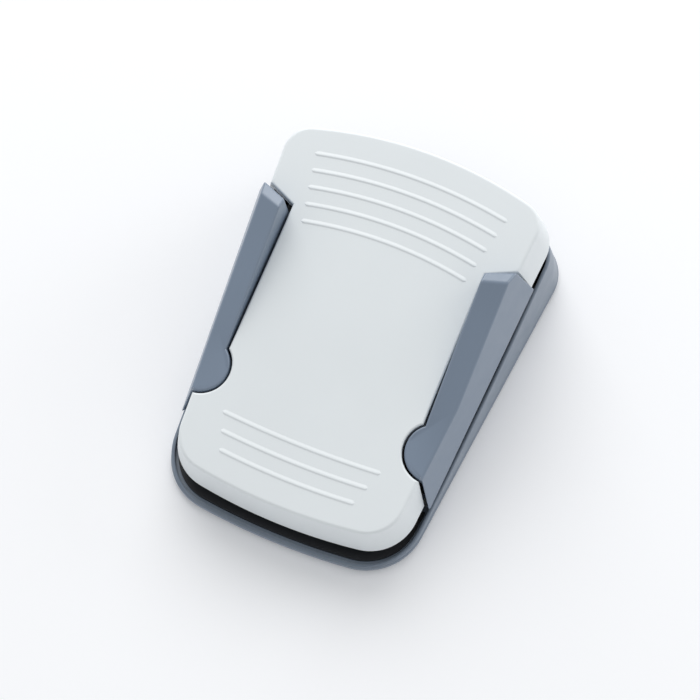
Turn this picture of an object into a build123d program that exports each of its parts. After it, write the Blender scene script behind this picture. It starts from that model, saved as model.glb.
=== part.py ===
"""Electronic foot control for a sewing machine.

A white treadle rocks on a cross axle. Two side levers swing outwards from round lobes near its heel.
The treadle floats, with an open gap all round, over a wedge-shaped base that stands on rubber feet.

Row frame, millimetres: +X to the right, +Y from heel to toe, +Z up, origin on the floor under the
middle of the base. Treadle pieces are drawn on the inclined plane `plate`, whose local X and Y lie in
the treadle's top face; a "depth" is measured down from that face.
"""
import os
from math import atan, cos, degrees, radians, sin, sqrt, tan

from build123d import *

os.makedirs("parts", exist_ok=True)

# ---- driving dimensions ---------------------------------------------------------------------------
INCLINE = 13.0  # slope of the treadle's top face, degrees
PLATE_HEIGHT = 56.7  # height of the top face over the origin
TREADLE_OUTLINE = dict(side=60.1, flare=0.0652, heel=-101.5, heel_crown=270, heel_corner=18,
                       toe=80.3, toe_crown=200, toe_corner=13)
SKIRT_DRAFT = 13.0  # outward slope of the skirt, degrees
PLATE_WALL = 2.8
SKIRT_WALL = 2.4
PLATE_EDGE_RADIUS = 1.6
SKIRT_HEEL = (-102.0, 10.7)  # (y, z) of the skirt's lower edge at the heel
SKIRT_RISE = 0.211  # rise of that edge towards the toe, mm per mm

LOBE_CENTRE = (57.5, -53.1)  # in the top face
LOBE_RADIUS = 13.1
LOBE_GAP = 1.1
NOTCH_INNER = 48.4  # inner side of the lever notch
NOTCH_TOE = 33.5  # its toe end, at the inner side
NOTCH_TOE_SLOPE = 0.45
NOTCH_HEEL = (56.0, -67.2)  # where the lobe's gap leaves the top face
NOTCH_HEEL_SLOPE = 1.427
NOTCH_REACH = 36.0  # how far the notch runs past the skirt
FLANGE_DEPTH = 7.5  # wall that edges the notch under the top face
FLANGE_WALL = 2.0

LEVER_INNER = 49.5
LEVER_TOE_GAP = 3.3
LEVER_HEEL_GAP = 2.2
LEVER_SIDE = (62.66, 0.0857)  # outer wall in the top face: x at y = 0, and its flare
LEVER_DRAFT = 16.5
LEVER_LOW = (-72.0, 14.6)  # (y, z) on the arm's lower edge, which rises faster than the skirt's
LEVER_RISE = 0.306
LEVER_WALL = 2.6
LEVER_SUNK = 0.3  # the lobe's top lies this far below the top face
LEVER_UNDERSIDE = 8.1
LEVER_PIVOT = (51.5, -53.1)  # the lever turns about this point, inside the lobe
LEVER_TOP = (26.1, -0.322, 0.2315)  # arm's top face: height = a + b*x + c*y
BEVEL_INNER = (49.6, 25.3, 16.0)
BEVEL_OUTER = (62.3, 30.0, 13.0)
BEVEL_DROP = 0.5  # fall of the bevel towards the toe, mm per mm

CARRIER_TOP = 8.5
CARRIER_WALL = 2.8
CARRIER_OUTLINE = dict(side=50.5, flare=0.066, heel=-88.0, heel_crown=260, heel_corner=12,
                       toe=66.0, toe_crown=190, toe_corner=8)
WING_RADIUS = 5.8
WING_DEPTH = 12.4
PIVOT = (-18.0, 22.0)  # (y, z) of the rocker axle
AXLE_RADIUS = 3.0
RUNNING_FIT = 0.05
LUG_X = 36.0
LUG_WALL = 6.0
POST_X = 45.0
POST_WALL = 5.0
BUSH_RADIUS = 4.5

LEVER_PIN_RADIUS = 2.4
LEVER_PIN_HEAD = 4.0
SPRING_POCKET = (3.7, 6.1)  # inner and outer radius of the return spring's pocket

BASE_OUTLINE = dict(side=70.15, flare=0.0856, heel=-105.0, heel_crown=330, heel_corner=29,
                    toe=105.0, toe_crown=220, toe_corner=24)
TRAY_BOTTOM = 1.5
TRAY_FLOOR = 2.5
RIM_HEIGHT = 4.5
RIM_WALL = 2.2
BODY_INSET = 0.4
BODY_WALL = 1.8
BODY_LOFT_TOP = 50.0
BODY_TOP_OUTLINE = dict(side=66.35, flare=0.048, heel=-101.2, heel_crown=327, heel_corner=27,
                        toe=86.6, toe_crown=200, toe_corner=18)
BODY_EDGE_HEEL = (-103.0, 4.5)  # (y, z) of the body's upper edge at the heel
BODY_EDGE_RISE = 0.19

CHASSIS_BOTTOM = 4.0
CHASSIS_FLOOR = 2.2
SHROUD_OUTLINE = dict(side=57.3, flare=0.066, heel=-93.5, heel_crown=300, heel_corner=14,
                      toe=79.0, toe_crown=200, toe_corner=10)
SHROUD_WALL = 2.0
SHROUD_DEPTH = 15.0  # the shroud's upper edge lies this far below the top face

FOOT_POINTS = [(-56, 78), (56, 78), (-48, -80), (48, -80)]
FOOT_RADIUS = 9.0
BODY_BOSSES = [(-70, 62), (70, 62), (-59.5, -60), (59.5, -60)]
CHASSIS_SCREW_POINTS = [(-40, 66), (40, 66), (-32, -84), (32, -84)]
CARRIER_SCREW_POINTS = [(-36, 58), (36, 58), (-36, -4), (36, -4), (-30, -80), (30, -80)]
TOE_SPRING = (28.0, 45.0)
HEEL_SPRING = (0.0, -68.0)
TOE_BUMPER = (16.0, 60.0)
HEEL_BUMPER = (18.0, -76.0)
SPRING_RADIUS = 5.0
SPRING_WIRE = 0.6
SENSOR_Y = 30.0
BOARD = (70.0, 38.0, 1.6)
BOARD_CENTRE = (0.0, 17.0)
BOARD_Z = 10.5
INLET_Z = 18.0
INLET_RADIUS = 3.2
SWITCH_Y = -25.0
HEEL_SWITCH = (28.0, -45.0)
HEEL_SWITCH_SEAT = 14.0

plate = Plane(
    origin=(0, 0, PLATE_HEIGHT),
    x_dir=(1, 0, 0),
    z_dir=(0, -sin(radians(INCLINE)), cos(radians(INCLINE))),
)


# ---- helpers ----------------------------------------------------------------------------------------
def at_depth(depth):
    """The plane parallel to the treadle's top face, this far below it."""
    return plate.offset(-depth)


def plane_through(point, normal):
    """A plane through a point given in the treadle's own coordinates."""
    origin = plate.from_local_coords(Vector(*point))
    direction = plate.from_local_coords(Vector(*normal)) - plate.from_local_coords(Vector(0, 0, 0))
    return Plane(origin=origin, z_dir=direction)


def rising_plane(point, rise):
    """A plane across the object through (y, z), rising towards the toe."""
    slope = atan(rise)
    return Plane(origin=(0, *point), x_dir=(1, 0, 0), z_dir=(0, -sin(slope), cos(slope)))


def grown(outline, amount):
    """The same outline moved outwards by an amount, or inwards if it is negative."""
    return dict(
        side=outline["side"] + amount * sqrt(1 + outline["flare"] ** 2),
        flare=outline["flare"],
        heel=outline["heel"] - amount,
        heel_crown=outline["heel_crown"] + amount,
        heel_corner=outline["heel_corner"] + amount,
        toe=outline["toe"] + amount,
        toe_crown=outline["toe_crown"] + amount,
        toe_corner=outline["toe_corner"] + amount,
    )


def corner_point(side, flare, end, crown, sign):
    """Where the straight side meets the crowned heel (sign -1) or toe (sign +1) arc."""
    centre = end - sign * crown
    a = 1 + flare ** 2
    b = side * flare - centre
    c = side ** 2 + centre ** 2 - crown ** 2
    y = (-b + sign * sqrt(b * b - a * c)) / a
    return side + flare * y, y


def outline_sketch(side, flare, heel, heel_crown, heel_corner, toe, toe_crown, toe_corner):
    """Tapered outline with crowned ends and rounded corners."""
    heel_x, heel_y = corner_point(side, flare, heel, heel_crown, -1)
    toe_x, toe_y = corner_point(side, flare, toe, toe_crown, 1)
    with BuildSketch() as outline:
        with BuildLine():
            Line((heel_x, heel_y), (toe_x, toe_y))
            ThreePointArc((toe_x, toe_y), (0, toe), (-toe_x, toe_y))
            Line((-toe_x, toe_y), (-heel_x, heel_y))
            ThreePointArc((-heel_x, heel_y), (0, heel), (heel_x, heel_y))
        make_face()
        fillet(outline.vertices().sort_by(Axis.Y)[-2:], toe_corner)
        fillet(outline.vertices().sort_by(Axis.Y)[:2], heel_corner)
    return outline.sketch


def both_sides(point):
    """A point and its mirror image across the middle plane."""
    return [(-point[0], point[1]), point]


def screw(plane, points, shank_radius, shank_length, head_radius, head_height):
    """Pan-head screws whose heads sit on the plane and whose shanks run against its normal."""
    with BuildPart() as screws:
        with BuildSketch(plane):
            with Locations(*points):
                Circle(head_radius)
        extrude(amount=head_height)
        with BuildSketch(plane):
            with Locations(*points):
                Circle(shank_radius)
        extrude(amount=-shank_length)
        with BuildSketch(plane.offset(head_height)):
            with Locations(*points):
                Rectangle(head_radius * 1.1, head_radius * 0.28)
                Rectangle(head_radius * 0.28, head_radius * 1.1)
        extrude(amount=-head_height * 0.55, mode=Mode.SUBTRACT)
    return screws.part


def coil_spring(base, direction, radius, wire, height, turns):
    """A round-wire coil standing on a base point."""
    pitch = height / turns
    helix = Helix(pitch=pitch, height=height, radius=radius, center=base, direction=direction)
    with BuildPart() as spring:
        with BuildSketch(Plane(origin=helix @ 0, z_dir=helix % 0)):
            Circle(wire)
        sweep(path=helix, is_frenet=True)
    return spring.part


def save(part, name):
    """Label a finished piece and write its file."""
    part.label = name
    export_step(part, f"parts/{name}.step")


skirt_edge = rising_plane(SKIRT_HEEL, SKIRT_RISE)
lever_edge = rising_plane(LEVER_LOW, LEVER_RISE)
body_edge = rising_plane(BODY_EDGE_HEEL, BODY_EDGE_RISE)
skirt_growth = tan(radians(SKIRT_DRAFT))
incline_cos = cos(radians(INCLINE))

# ---- treadle shell ----------------------------------------------------------------------------------
LOFT_DEPTH = 32.0

with BuildSketch() as notch_right:
    with BuildLine():
        Polyline(
            (NOTCH_INNER, LOBE_CENTRE[1]),
            (NOTCH_INNER, NOTCH_TOE),
            (NOTCH_INNER + NOTCH_REACH, NOTCH_TOE + NOTCH_REACH * NOTCH_TOE_SLOPE),
            (NOTCH_INNER + NOTCH_REACH, NOTCH_HEEL[1] - NOTCH_REACH * NOTCH_HEEL_SLOPE),
            NOTCH_HEEL,
            LOBE_CENTRE,
            close=True,
        )
    make_face()
    with Locations(LOBE_CENTRE):
        Circle(LOBE_RADIUS + LOBE_GAP)

with BuildSketch() as notches:
    add(notch_right.sketch)
    mirror(about=Plane.YZ)

with BuildSketch() as notch_flanges:
    add(notches.sketch)
    offset(amount=FLANGE_WALL)
    add(outline_sketch(**grown(TREADLE_OUTLINE, -0.5)), mode=Mode.INTERSECT)
    add(notches.sketch, mode=Mode.SUBTRACT)

with BuildSketch() as ribs:
    for row in range(5):
        half = 49.0 - 1.8 * row
        y = 60.9 - 8.4 * row
        bulge = 5.1 - 0.18 * row
        SlotArc(ThreePointArc((-half, y), (0, y + bulge), (half, y)), 2.0)
    for row in range(3):
        half = 39.2 - 2.85 * row
        y = -70.1 - 8.4 * row
        SlotArc(ThreePointArc((-half, y), (0, y - 1.5), (half, y)), 2.0)

with BuildPart() as treadle_shell:
    with BuildSketch(plate):
        add(outline_sketch(**TREADLE_OUTLINE))
    with BuildSketch(at_depth(LOFT_DEPTH)):
        add(outline_sketch(**grown(TREADLE_OUTLINE, LOFT_DEPTH * skirt_growth)))
    loft(ruled=True)
    top_face = treadle_shell.faces().sort_by(Axis.Z)[-1]
    fillet(top_face.edges(), PLATE_EDGE_RADIUS)
    with BuildSketch(at_depth(PLATE_WALL)):
        add(outline_sketch(**grown(TREADLE_OUTLINE, PLATE_WALL * skirt_growth - SKIRT_WALL)))
    with BuildSketch(at_depth(LOFT_DEPTH + 1)):
        add(outline_sketch(**grown(TREADLE_OUTLINE, (LOFT_DEPTH + 1) * skirt_growth - SKIRT_WALL)))
    loft(ruled=True, mode=Mode.SUBTRACT)
    split(bisect_by=skirt_edge, keep=Keep.TOP)
    with BuildSketch(at_depth(PLATE_WALL)):
        add(notch_flanges.sketch)
    extrude(amount=PLATE_WALL - FLANGE_DEPTH)
    with BuildSketch(plate.offset(5)):
        add(notches.sketch)
    extrude(amount=-50, mode=Mode.SUBTRACT)
    with BuildSketch(at_depth(PLATE_WALL)):
        with Locations(*CARRIER_SCREW_POINTS):
            Circle(3.6)
    extrude(amount=PLATE_WALL - CARRIER_TOP)
    with BuildSketch(at_depth(CARRIER_TOP)):
        with Locations(*CARRIER_SCREW_POINTS):
            Circle(1.3)
    extrude(amount=6.5, mode=Mode.SUBTRACT)
    for side in (-1, 1):
        with BuildSketch(Plane(plate.from_local_coords(Vector(side * 44, SWITCH_Y, -5.6)), z_dir=(side, 0, 0))):
            Circle(1.4)
        extrude(amount=6, mode=Mode.SUBTRACT)
    with BuildSketch(plate.offset(-0.4)):
        add(ribs.sketch)
    extrude(amount=1.1)

save(treadle_shell.part, "treadle_shell")

# ---- levers -----------------------------------------------------------------------------------------
arm_normal = (-LEVER_TOP[1], -LEVER_TOP[2], 1)
arm_top = plane_through((0, 0, LEVER_TOP[0]), arm_normal)
arm_ceiling = plane_through((0, 0, LEVER_TOP[0] - LEVER_WALL), arm_normal)
flare_angle = atan(LEVER_SIDE[1])
draft = radians(LEVER_DRAFT)
wall_normal = (cos(draft) * cos(flare_angle), -cos(draft) * sin(flare_angle), sin(draft))
wall_outside = plane_through((LEVER_SIDE[0], 0, 0), wall_normal)
wall_inside = wall_outside.offset(-LEVER_WALL)

bevel_across = Vector(*BEVEL_OUTER) - Vector(*BEVEL_INNER)
bevel_down = Vector(-bevel_across.Y, bevel_across.X, 0).normalized() - Vector(0, 0, BEVEL_DROP)
bevel = plane_through(BEVEL_INNER, tuple(bevel_across.cross(bevel_down)))

LEVER_REACH = 26.0
toe_start = NOTCH_TOE + (LEVER_INNER - NOTCH_INNER) * NOTCH_TOE_SLOPE
toe_start -= LEVER_TOE_GAP * sqrt(1 + NOTCH_TOE_SLOPE ** 2)
heel_start = NOTCH_HEEL[1] + LEVER_HEEL_GAP * sqrt(1 + NOTCH_HEEL_SLOPE ** 2)

with BuildSketch() as lever_plan:
    with BuildLine():
        Polyline(
            (LEVER_INNER, LOBE_CENTRE[1]),
            (LEVER_INNER, toe_start),
            (LEVER_INNER + LEVER_REACH, toe_start + LEVER_REACH * NOTCH_TOE_SLOPE),
            (NOTCH_HEEL[0] + LEVER_REACH, heel_start - LEVER_REACH * NOTCH_HEEL_SLOPE),
            (NOTCH_HEEL[0] + 1.8, heel_start - 1.8 * NOTCH_HEEL_SLOPE),
            LOBE_CENTRE,
            close=True,
        )
    make_face()
    with Locations(LOBE_CENTRE):
        Circle(LOBE_RADIUS)

with BuildPart() as lever_hollow:
    with BuildSketch(plate.offset(20)):
        with BuildLine():
            Polyline(
                (LEVER_INNER + LEVER_WALL, LOBE_CENTRE[1] + LOBE_RADIUS + 4),
                (LEVER_INNER + LEVER_WALL, toe_start - LEVER_WALL),
                (LEVER_INNER + LEVER_REACH, toe_start - LEVER_WALL + LEVER_REACH * NOTCH_TOE_SLOPE),
                (LEVER_INNER + LEVER_REACH, LOBE_CENTRE[1] + LOBE_RADIUS + 4),
                close=True,
            )
        make_face()
    extrude(amount=-60)
    split(bisect_by=arm_ceiling, keep=Keep.BOTTOM)
    split(bisect_by=bevel.offset(-LEVER_WALL), keep=Keep.BOTTOM)
    with BuildSketch(at_depth(LEVER_UNDERSIDE)):
        with Locations((60, -20)):
            Rectangle(60, 180)
    extrude(amount=-40)
    split(bisect_by=wall_inside, keep=Keep.BOTTOM)

with BuildPart() as lever_block:
    with BuildSketch(plate.offset(20)):
        add(lever_plan.sketch)
    extrude(amount=-60)
    split(bisect_by=arm_top, keep=Keep.BOTTOM)
    split(bisect_by=bevel, keep=Keep.BOTTOM)

with BuildPart() as lever_right:
    with BuildSketch(at_depth(LEVER_SUNK)):
        add(lever_plan.sketch)
    extrude(amount=-39)
    add(lever_block.part)
    split(bisect_by=wall_outside, keep=Keep.BOTTOM)
    split(bisect_by=lever_edge, keep=Keep.TOP)
    add(lever_hollow.part, mode=Mode.SUBTRACT)
    with BuildSketch(at_depth(LEVER_UNDERSIDE)):
        with Locations(LEVER_PIVOT):
            Circle(LEVER_PIN_RADIUS)
    extrude(amount=4.3, mode=Mode.SUBTRACT)
    with BuildSketch(at_depth(LEVER_UNDERSIDE)):
        with Locations(LEVER_PIVOT):
            Circle(SPRING_POCKET[1])
            Circle(SPRING_POCKET[0], mode=Mode.SUBTRACT)
    extrude(amount=4.0, mode=Mode.SUBTRACT)

with BuildPart() as lever_left:
    add(lever_right.part.mirror(Plane.YZ))

save(lever_right.part, "lever_right")
save(lever_left.part, "lever_left")

for side, name in ((1, "right"), (-1, "left")):
    centre = (side * LEVER_PIVOT[0], LEVER_PIVOT[1])
    with BuildPart() as lever_pin:
        with BuildSketch(at_depth(4.0)):
            with Locations(centre):
                Circle(LEVER_PIN_RADIUS)
        extrude(amount=-6.8)
        with BuildSketch(at_depth(10.8)):
            with Locations(centre):
                Circle(LEVER_PIN_HEAD)
        extrude(amount=-1.4)
        with BuildSketch(at_depth(12.2)):
            with Locations(centre):
                RegularPolygon(1.5, 6)
        extrude(amount=1.0, mode=Mode.SUBTRACT)
    save(lever_pin.part, f"lever_pin_{name}")
    spring_foot = plate.from_local_coords(Vector(*centre, -7.9))
    spring = coil_spring(spring_foot, plate.z_dir, 4.9, 0.4, 2.8, 2.5)
    save(spring, f"lever_spring_{name}")

# ---- treadle carrier --------------------------------------------------------------------------------
with BuildPart() as treadle_carrier:
    with BuildSketch(at_depth(CARRIER_TOP)):
        add(outline_sketch(**CARRIER_OUTLINE))
        with Locations(*both_sides(LEVER_PIVOT)):
            Circle(WING_RADIUS)
        with Locations((0, SENSOR_Y - 45), (0, -44)):
            Rectangle(40, 16, mode=Mode.SUBTRACT)
    extrude(amount=-CARRIER_WALL)
    with BuildSketch(at_depth(CARRIER_TOP)):
        with Locations(*both_sides(LEVER_PIVOT)):
            Circle(WING_RADIUS)
    extrude(amount=CARRIER_TOP - WING_DEPTH)
    for side in (-1, 1):
        with BuildSketch(Plane.YZ.offset(side * LUG_X - LUG_WALL / 2)):
            with Locations(PIVOT):
                Circle(BUSH_RADIUS + 3)
            with Locations((PIVOT[0], PIVOT[1] + 16)):
                Rectangle(2 * BUSH_RADIUS + 10, 32)
        extrude(amount=LUG_WALL)
    with BuildSketch(Plane.XY.offset(53)):
        with Locations(*both_sides(TOE_SPRING)):
            Circle(7.5)
    extrude(amount=12)
    with BuildSketch(Plane.XY.offset(27)):
        with Locations(HEEL_SPRING):
            Circle(7.5)
    extrude(amount=12)
    split(bisect_by=at_depth(CARRIER_TOP), keep=Keep.BOTTOM)
    with BuildSketch(Plane.YZ.offset(-LUG_X - LUG_WALL)):
        with Locations(PIVOT):
            Circle(BUSH_RADIUS)
    extrude(amount=2 * (LUG_X + LUG_WALL), mode=Mode.SUBTRACT)
    with BuildSketch(at_depth(CARRIER_TOP - 1)):
        with Locations(*CARRIER_SCREW_POINTS):
            Circle(1.7)
        with Locations(*both_sides(LEVER_PIVOT)):
            Circle(LEVER_PIN_RADIUS + RUNNING_FIT)
    extrude(amount=-8, mode=Mode.SUBTRACT)
    with BuildSketch(at_depth(10.5)):
        with Locations(*both_sides(LEVER_PIVOT)):
            Circle(LEVER_PIN_HEAD + 0.4)
    extrude(amount=-4, mode=Mode.SUBTRACT)
save(treadle_carrier.part, "treadle_carrier")

carrier_underside = at_depth(CARRIER_TOP + CARRIER_WALL)
flipped = Plane(carrier_underside.origin, x_dir=carrier_underside.x_dir, z_dir=-carrier_underside.z_dir)
flipped_points = [(x, -y) for x, y in CARRIER_SCREW_POINTS]
save(screw(flipped, flipped_points, 1.3, 8.5, 3.0, 1.8), "carrier_screws")

# ---- rocker hinge -----------------------------------------------------------------------------------
with BuildPart() as treadle_axle:
    with BuildSketch(Plane.YZ.offset(-POST_X - 6)):
        with Locations(PIVOT):
            Circle(AXLE_RADIUS)
    extrude(amount=2 * (POST_X + 6))
    with BuildSketch(Plane.YZ.offset(-POST_X - 4.6), Plane.YZ.offset(POST_X + 3.6)):
        with Locations(PIVOT):
            Circle(AXLE_RADIUS)
            Circle(AXLE_RADIUS - 0.6, mode=Mode.SUBTRACT)
    extrude(amount=1.0, mode=Mode.SUBTRACT)
    chamfer(treadle_axle.faces().sort_by(Axis.X)[-1].edges(), 0.5)
    chamfer(treadle_axle.faces().sort_by(Axis.X)[0].edges(), 0.5)
save(treadle_axle.part, "treadle_axle")

with BuildPart() as axle_clips:
    with BuildSketch(Plane.YZ.offset(-POST_X - 4.5), Plane.YZ.offset(POST_X + 3.7)):
        with Locations(PIVOT):
            Circle(AXLE_RADIUS + 2.4)
            Circle(AXLE_RADIUS - 0.6, mode=Mode.SUBTRACT)
        with Locations((PIVOT[0], PIVOT[1] - AXLE_RADIUS - 1)):
            Rectangle(2 * AXLE_RADIUS - 2, 4.5, mode=Mode.SUBTRACT)
    extrude(amount=0.8)
save(axle_clips.part, "axle_clips")

with BuildPart() as pivot_bushes:
    for side in (-1, 1):
        with BuildSketch(Plane.YZ.offset(side * LUG_X - LUG_WALL / 2)):
            with Locations(PIVOT):
                Circle(BUSH_RADIUS)
                Circle(AXLE_RADIUS + RUNNING_FIT, mode=Mode.SUBTRACT)
        extrude(amount=LUG_WALL)
        flange_start = side * LUG_X + (LUG_WALL / 2 if side > 0 else -LUG_WALL / 2 - 1.2)
        with BuildSketch(Plane.YZ.offset(flange_start)):
            with Locations(PIVOT):
                Circle(BUSH_RADIUS + 1.8)
                Circle(AXLE_RADIUS + RUNNING_FIT, mode=Mode.SUBTRACT)
        extrude(amount=1.2)
save(pivot_bushes.part, "pivot_bushes")

# ---- base tray --------------------------------------------------------------------------------------
with BuildPart() as base_tray:
    with BuildSketch(Plane.XY.offset(TRAY_BOTTOM)):
        add(outline_sketch(**BASE_OUTLINE))
    extrude(amount=RIM_HEIGHT - TRAY_BOTTOM)
    fillet(base_tray.faces().sort_by(Axis.Z)[-1].edges(), 0.6)
    chamfer(base_tray.faces().sort_by(Axis.Z)[0].edges(), 0.8)
    with BuildSketch(Plane.XY.offset(TRAY_BOTTOM + TRAY_FLOOR)):
        add(outline_sketch(**grown(BASE_OUTLINE, -RIM_WALL)))
    extrude(amount=RIM_HEIGHT, mode=Mode.SUBTRACT)
    with BuildSketch(Plane.XY):
        with Locations(*FOOT_POINTS):
            Circle(3.0)
        with Locations(*BODY_BOSSES, *CHASSIS_SCREW_POINTS):
            Circle(1.7)
    extrude(amount=10, mode=Mode.SUBTRACT)
    with BuildSketch(Plane.XY.offset(TRAY_BOTTOM)):
        with Locations(*BODY_BOSSES, *CHASSIS_SCREW_POINTS):
            Circle(3.4)
    extrude(amount=1.3, mode=Mode.SUBTRACT)
save(base_tray.part, "base_tray")

with BuildPart() as rubber_feet:
    with BuildSketch():
        with Locations(*FOOT_POINTS):
            Circle(FOOT_RADIUS)
    extrude(amount=TRAY_BOTTOM)
    chamfer(rubber_feet.faces().filter_by(Axis.Z).group_by(Axis.Z)[0].edges(), 0.5)
    with BuildSketch():
        with Locations(*FOOT_POINTS):
            Circle(3.0)
    extrude(amount=TRAY_BOTTOM + TRAY_FLOOR)
    with BuildSketch():
        with Locations(*FOOT_POINTS):
            Circle(4.5)
            Circle(3.5, mode=Mode.SUBTRACT)
    extrude(amount=0.4, mode=Mode.SUBTRACT)
save(rubber_feet.part, "rubber_feet")

tray_under = Plane(origin=(0, 0, TRAY_BOTTOM + 1.3), x_dir=(1, 0, 0), z_dir=(0, 0, -1))
save(screw(tray_under, [(x, -y) for x, y in BODY_BOSSES], 1.5, 5.2, 3.1, 1.2), "base_screws")
save(screw(tray_under, [(x, -y) for x, y in CHASSIS_SCREW_POINTS], 1.5, 7.0, 3.1, 1.2), "chassis_screws")

# ---- base body --------------------------------------------------------------------------------------
body_outline = grown(BASE_OUTLINE, -BODY_INSET)
inlet_pad = 102.4

with BuildPart() as base_body:
    with BuildSketch(Plane.XY.offset(RIM_HEIGHT)):
        add(outline_sketch(**body_outline))
    with BuildSketch(Plane.XY.offset(BODY_LOFT_TOP)):
        add(outline_sketch(**BODY_TOP_OUTLINE))
    loft(ruled=True)
    with BuildSketch(Plane.XZ.offset(-inlet_pad)):
        with Locations((0, INLET_Z)):
            Circle(8.4)
    extrude(amount=12)
    with BuildSketch(Plane.XY.offset(RIM_HEIGHT - 1)):
        add(outline_sketch(**grown(body_outline, -BODY_WALL)))
    with BuildSketch(Plane.XY.offset(BODY_LOFT_TOP + 1)):
        add(outline_sketch(**grown(BODY_TOP_OUTLINE, -BODY_WALL)))
    loft(ruled=True, mode=Mode.SUBTRACT)
    with BuildSketch(Plane.XY.offset(RIM_HEIGHT)):
        with Locations(*BODY_BOSSES):
            Circle(4.0)
    extrude(amount=5.0)
    split(bisect_by=body_edge, keep=Keep.BOTTOM)
    with BuildSketch(Plane.XY.offset(TRAY_BOTTOM + TRAY_FLOOR)):
        with Locations(*BODY_BOSSES):
            Circle(1.5)
    extrude(amount=4.5, mode=Mode.SUBTRACT)
    with BuildSketch(Plane.XZ.offset(-inlet_pad - 5)):
        with Locations((0, INLET_Z)):
            Circle(6.0)
    extrude(amount=25, mode=Mode.SUBTRACT)
    with BuildSketch(Plane.XZ.offset(-inlet_pad - 6)):
        with Locations((0, INLET_Z)):
            Circle(9.2)
    extrude(amount=6, mode=Mode.SUBTRACT)
save(base_body.part, "base_body")

with BuildPart() as cable_gland:
    with BuildSketch(Plane.XZ.offset(-inlet_pad)):
        with Locations((0, INLET_Z)):
            Circle(6.0)
    extrude(amount=10)
    with BuildSketch(Plane.XZ.offset(-inlet_pad)):
        with Locations((0, INLET_Z)):
            Circle(7.6)
    extrude(amount=-1.8)
    fillet(cable_gland.faces().sort_by(Axis.Y)[-1].edges(), 0.8)
    with BuildSketch(Plane.XZ.offset(-inlet_pad - 5)):
        with Locations((0, INLET_Z)):
            Circle(INLET_RADIUS)
    extrude(amount=20, mode=Mode.SUBTRACT)
save(cable_gland.part, "cable_gland")

# ---- chassis ----------------------------------------------------------------------------------------
toe_tower_top = 32.0
toe_stop_top = 47.9
heel_stop_top = 19.5

with BuildPart() as chassis:
    with BuildSketch(Plane.XY.offset(CHASSIS_BOTTOM)):
        add(outline_sketch(**SHROUD_OUTLINE))
    extrude(amount=80)
    split(bisect_by=at_depth(SHROUD_DEPTH), keep=Keep.BOTTOM)
    with BuildSketch(Plane.XY.offset(CHASSIS_BOTTOM + CHASSIS_FLOOR)):
        add(outline_sketch(**grown(SHROUD_OUTLINE, -SHROUD_WALL)))
    extrude(amount=90, mode=Mode.SUBTRACT)
    with BuildSketch(Plane.XY.offset(CHASSIS_BOTTOM)):
        add(outline_sketch(**grown(BASE_OUTLINE, -RIM_WALL - 1.6)))
        with Locations(*BODY_BOSSES):
            Circle(5.0, mode=Mode.SUBTRACT)
    extrude(amount=1.6)
    for side in (-1, 1):
        with BuildSketch(Plane.YZ.offset(side * POST_X - POST_WALL / 2)):
            with Locations(PIVOT):
                Circle(AXLE_RADIUS + 4.5)
            with Locations((PIVOT[0], (PIVOT[1] + CHASSIS_BOTTOM) / 2)):
                Rectangle(2 * AXLE_RADIUS + 9, PIVOT[1] - CHASSIS_BOTTOM)
        extrude(amount=POST_WALL)
    with BuildSketch(Plane.XY.offset(CHASSIS_BOTTOM)):
        with Locations(*both_sides(TOE_SPRING)):
            Circle(7.5)
    extrude(amount=toe_tower_top - CHASSIS_BOTTOM)
    with BuildSketch(Plane.XY.offset(CHASSIS_BOTTOM)):
        with Locations(*both_sides(TOE_BUMPER)):
            Circle(4.5)
    extrude(amount=toe_stop_top - CHASSIS_BOTTOM)
    with BuildSketch(Plane.XY.offset(CHASSIS_BOTTOM)):
        with Locations(*both_sides(HEEL_BUMPER)):
            Circle(4.5)
    extrude(amount=heel_stop_top - CHASSIS_BOTTOM)
    with BuildSketch(Plane.XY.offset(CHASSIS_BOTTOM)):
        with Locations(*CHASSIS_SCREW_POINTS):
            Circle(3.5)
    extrude(amount=7)
    with BuildSketch(Plane.XY.offset(CHASSIS_BOTTOM)):
        with Locations(BOARD_CENTRE):
            with GridLocations(BOARD[0] - 8, BOARD[1] - 8, 2, 2):
                Circle(3.0)
    extrude(amount=BOARD_Z - CHASSIS_BOTTOM)
    with BuildSketch(Plane.XY.offset(CHASSIS_BOTTOM)):
        with Locations(HEEL_SWITCH):
            Rectangle(15, 9)
    extrude(amount=HEEL_SWITCH_SEAT - CHASSIS_BOTTOM)
    with BuildSketch(Plane.YZ.offset(-POST_X - 10)):
        with Locations(PIVOT):
            Circle(AXLE_RADIUS)
    extrude(amount=2 * (POST_X + 10), mode=Mode.SUBTRACT)
    with BuildSketch(Plane.XZ.offset(-SHROUD_OUTLINE["toe"] - 5)):
        with Locations((0, INLET_Z)):
            Circle(INLET_RADIUS + 1.5)
    extrude(amount=15, mode=Mode.SUBTRACT)
    with BuildSketch(Plane.XY.offset(CHASSIS_BOTTOM)):
        with Locations(*CHASSIS_SCREW_POINTS):
            Circle(1.5)
        with Locations(BOARD_CENTRE):
            with GridLocations(BOARD[0] - 8, BOARD[1] - 8, 2, 2):
                Circle(1.1)
    extrude(amount=6.0, mode=Mode.SUBTRACT)
    with BuildSketch(Plane.XY.offset(BOARD_Z)):
        with Locations(BOARD_CENTRE):
            with GridLocations(BOARD[0] - 8, BOARD[1] - 8, 2, 2):
                Circle(1.1)
    extrude(amount=-5.0, mode=Mode.SUBTRACT)
save(chassis.part, "chassis")

# ---- springs and stops ------------------------------------------------------------------------------
with BuildPart() as toe_springs:
    for x, y in both_sides(TOE_SPRING):
        add(coil_spring((x, y, toe_tower_top + 0.9), (0, 0, 1), SPRING_RADIUS, SPRING_WIRE, 18.9, 7))
save(toe_springs.part, "toe_springs")

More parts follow.
